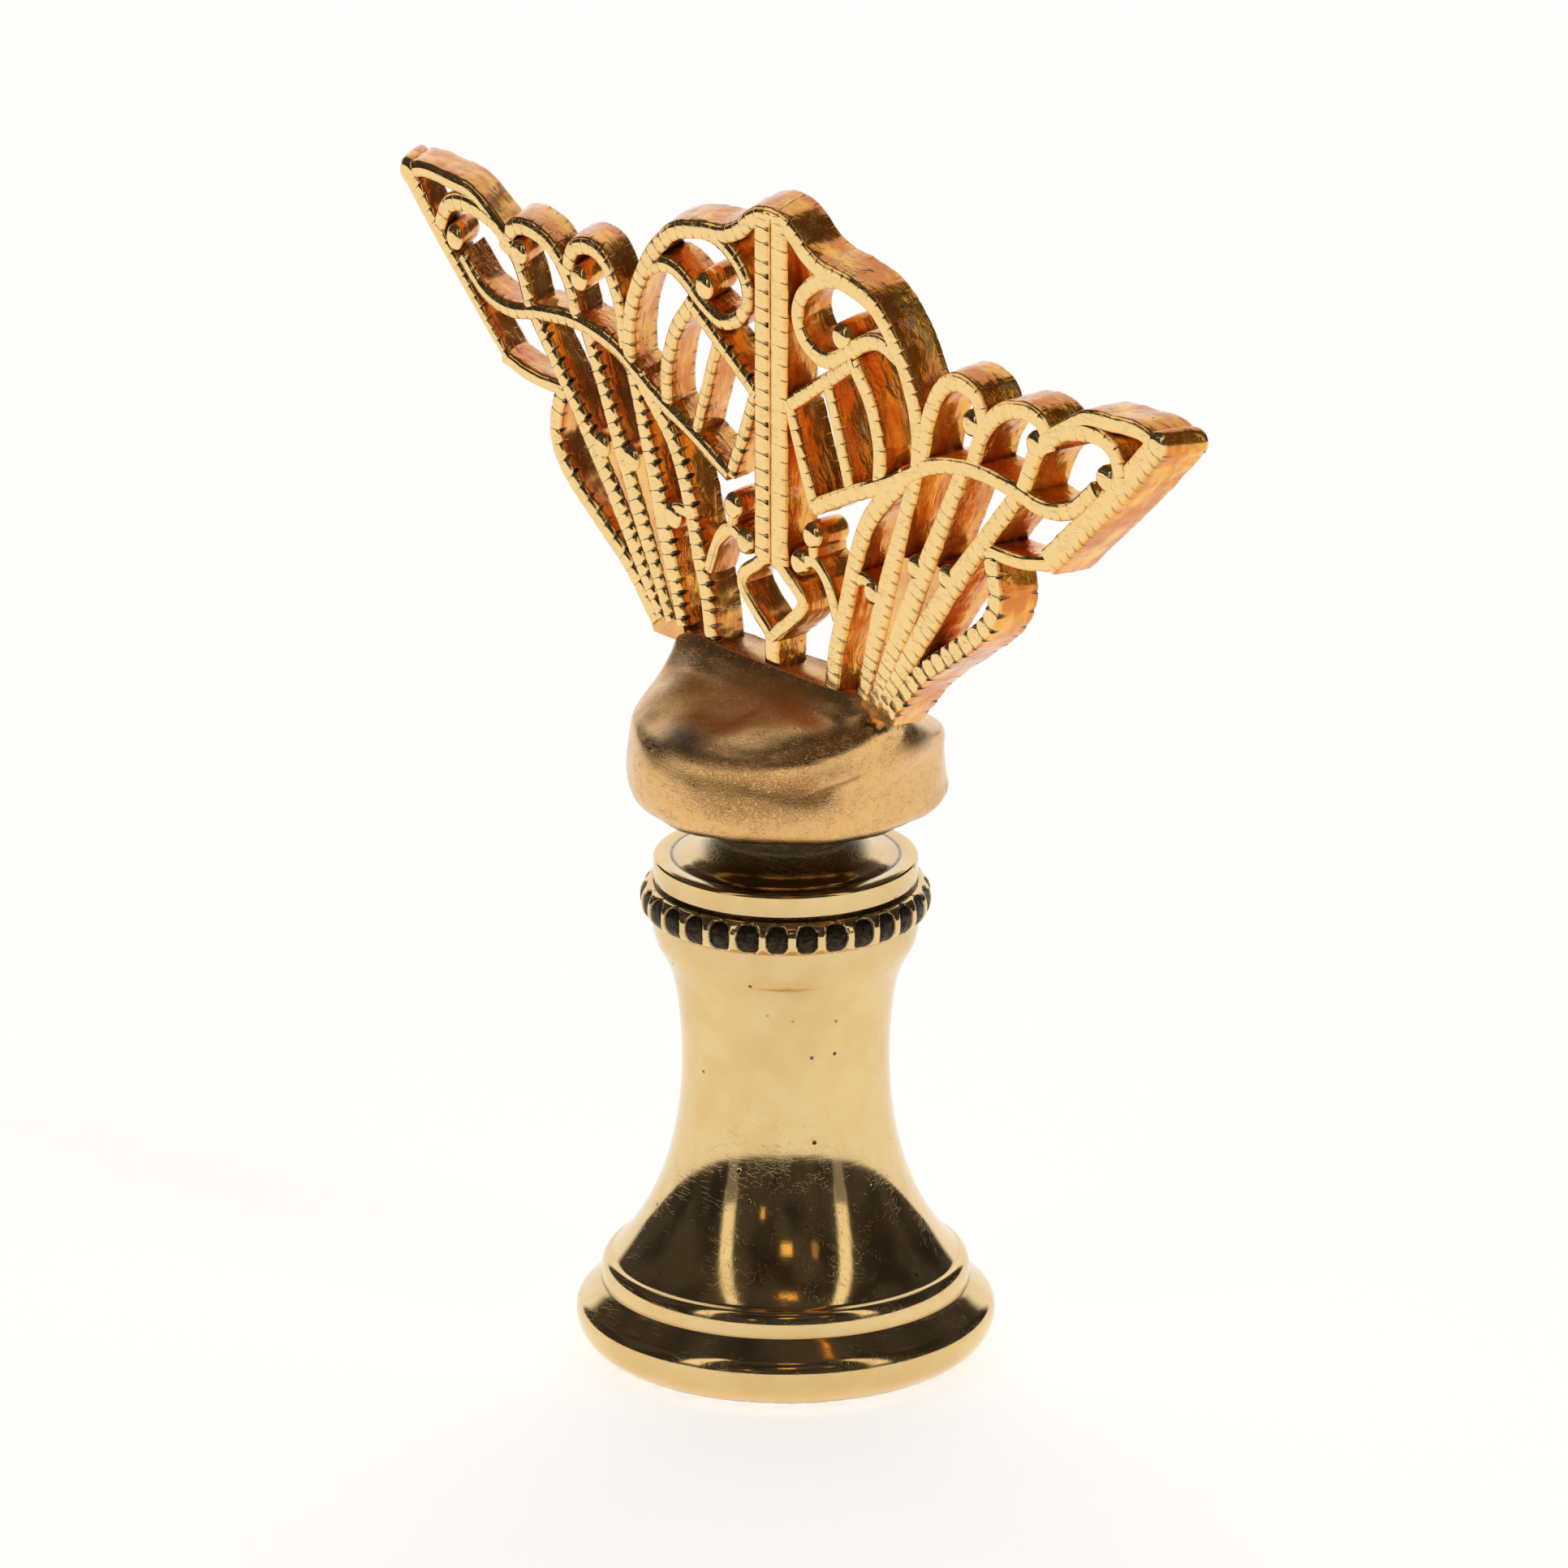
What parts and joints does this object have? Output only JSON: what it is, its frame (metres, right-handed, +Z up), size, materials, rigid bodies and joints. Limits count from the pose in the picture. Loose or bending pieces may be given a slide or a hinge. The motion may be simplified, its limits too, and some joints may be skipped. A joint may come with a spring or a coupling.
{
  "type": "lamp finial",
  "caption": "Brass lamp finial: turned spool base with a beaded collar, a gilt putty mound and an openwork fan standing in it.",
  "frame": {"origin": "centre of the base disc's flat underside", "axes": "+Z up along the turned base's axis, +X along the fan's span, +Y through its thickness"},
  "size_m": [0.0546, 0.019, 0.0538],
  "materials": {
    "polished_brass": "polished and slightly tarnished, dark in the hollows of the beaded collar",
    "gilt_putty": "satin gold paint over hand-pressed putty",
    "gold_plate": "bright gold plate over a cast openwork"
  },
  "bodies": {
    "root": {"finial_base": "polished_brass", "gilt_putty_mound": "gilt_putty", "openwork_fan": "gold_plate"}
  },
  "joints": []
}
